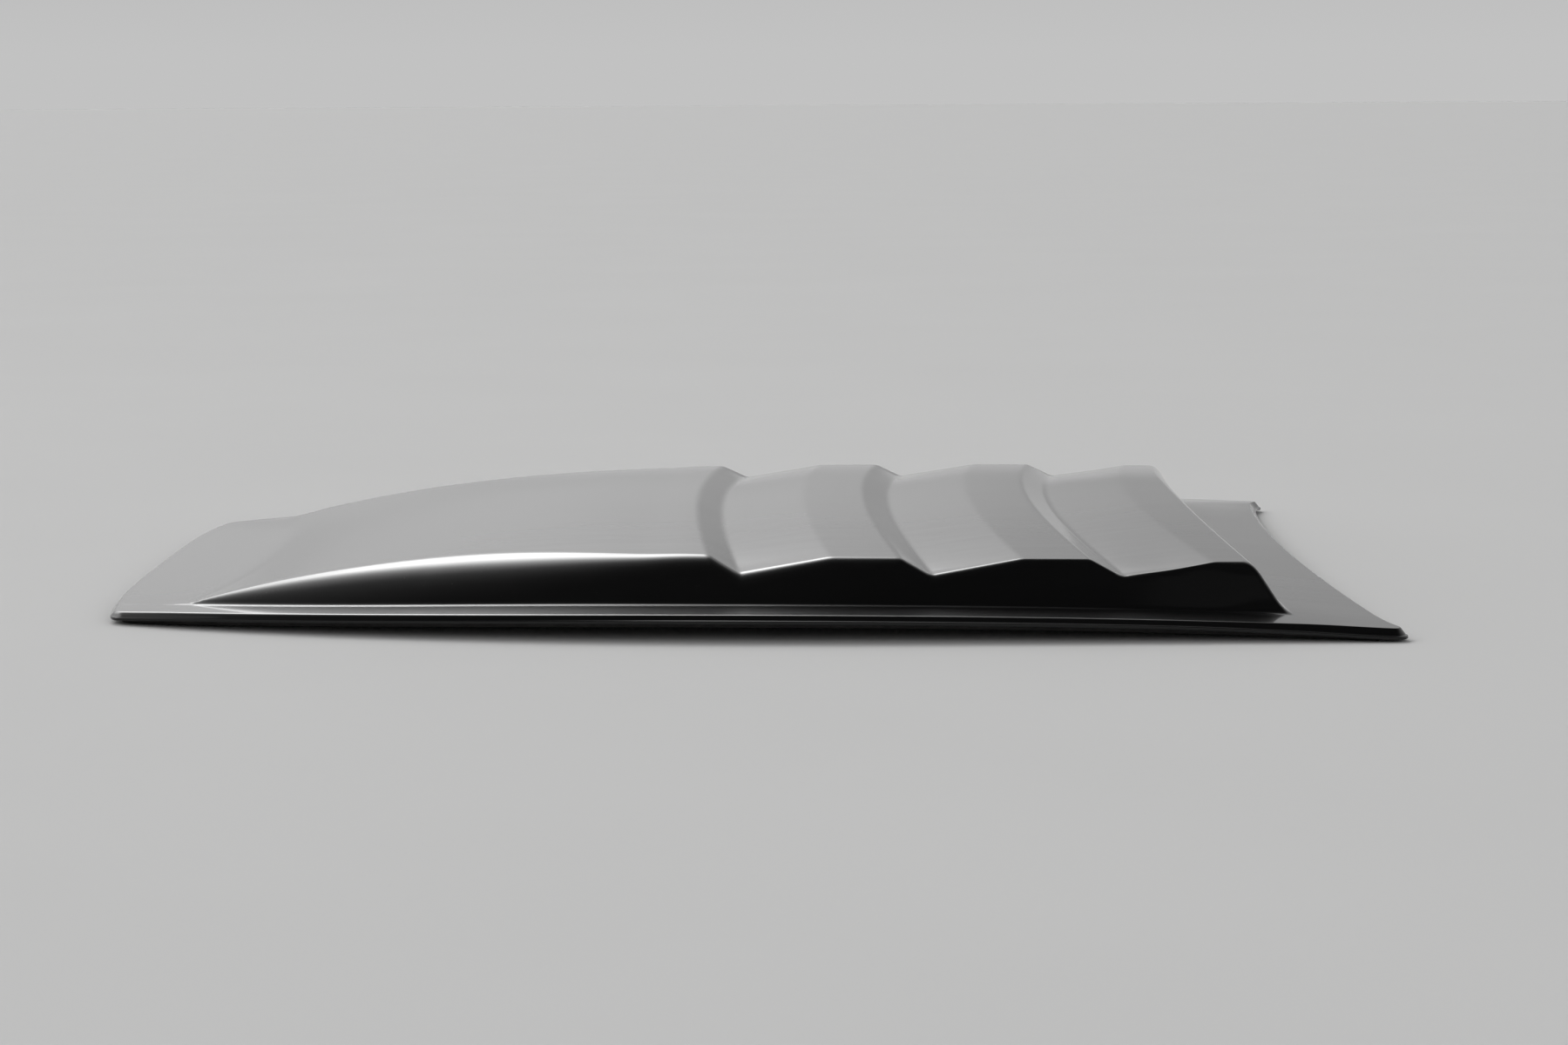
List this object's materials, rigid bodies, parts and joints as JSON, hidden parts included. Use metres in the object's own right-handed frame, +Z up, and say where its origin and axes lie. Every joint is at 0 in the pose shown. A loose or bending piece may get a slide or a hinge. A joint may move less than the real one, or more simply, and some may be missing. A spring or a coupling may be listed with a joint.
{
  "type": "vehicle hood scoop",
  "caption": "Low wedge-shaped vehicle hood scoop moulded as a thin shell, with louvre steps across its top, a rolled base flange, an edge seal and foam mounting strips.",
  "frame": {"origin": "under the middle of the scoop, on the plane that the four corners of its seal stand on", "axes": "+X from the low front edge to the rear deck, along the vehicle; +Y across it; +Z up"},
  "size_m": [1.2916, 1.108, 0.083],
  "materials": {
    "satin_black_plastic": "satin black moulded plastic, smooth, lightly dusty",
    "black_rubber": "matt black extruded rubber",
    "foam": "dark grey closed-cell foam with adhesive faces"
  },
  "bodies": {
    "root": {"scoop_shell": "satin_black_plastic", "edge_seal": "black_rubber", "mounting_strip_near": "foam", "mounting_strip_far": "foam", "mounting_strip_front": "foam", "mounting_strip_rear": "foam"}
  },
  "joints": []
}
